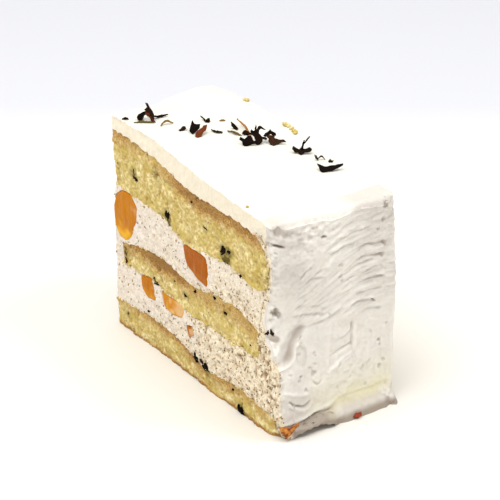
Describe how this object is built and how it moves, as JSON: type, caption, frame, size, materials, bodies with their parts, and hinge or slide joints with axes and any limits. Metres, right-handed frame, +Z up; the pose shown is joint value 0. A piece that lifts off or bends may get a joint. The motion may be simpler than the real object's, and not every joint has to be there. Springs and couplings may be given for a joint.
{
  "type": "slice of peach cake",
  "caption": "Upright slice of layered sponge cake with cream filling and pieces of peach, white cream over the top and one end, and dry tea leaves on top.",
  "frame": {"origin": "under the middle of the slice, on the surface that it stands on", "axes": "+X along the slice towards the cream-covered end, -Y towards the front cut face, +Z up"},
  "size_m": [0.1086, 0.05, 0.0882],
  "materials": {
    "cream": "soft satin",
    "sponge": "matt, open crumb",
    "filling": "matt, aerated, speckled",
    "peach": "wet"
  },
  "bodies": {
    "root": {"outer_cream": "cream", "sponge_upper": "sponge", "sponge_middle": "sponge", "sponge_lower": "sponge", "filling_upper": "filling", "filling_lower": "filling", "peach_left_corner": "peach", "peach_upper_middle": "peach", "peach_lower_left": "peach", "peach_lower_middle": "peach", "peach_sliver": "peach", "peach_back_upper": "peach", "peach_back_middle": "peach", "peach_back_lower": "peach", "peach_cut_end": "peach"}
  },
  "joints": []
}
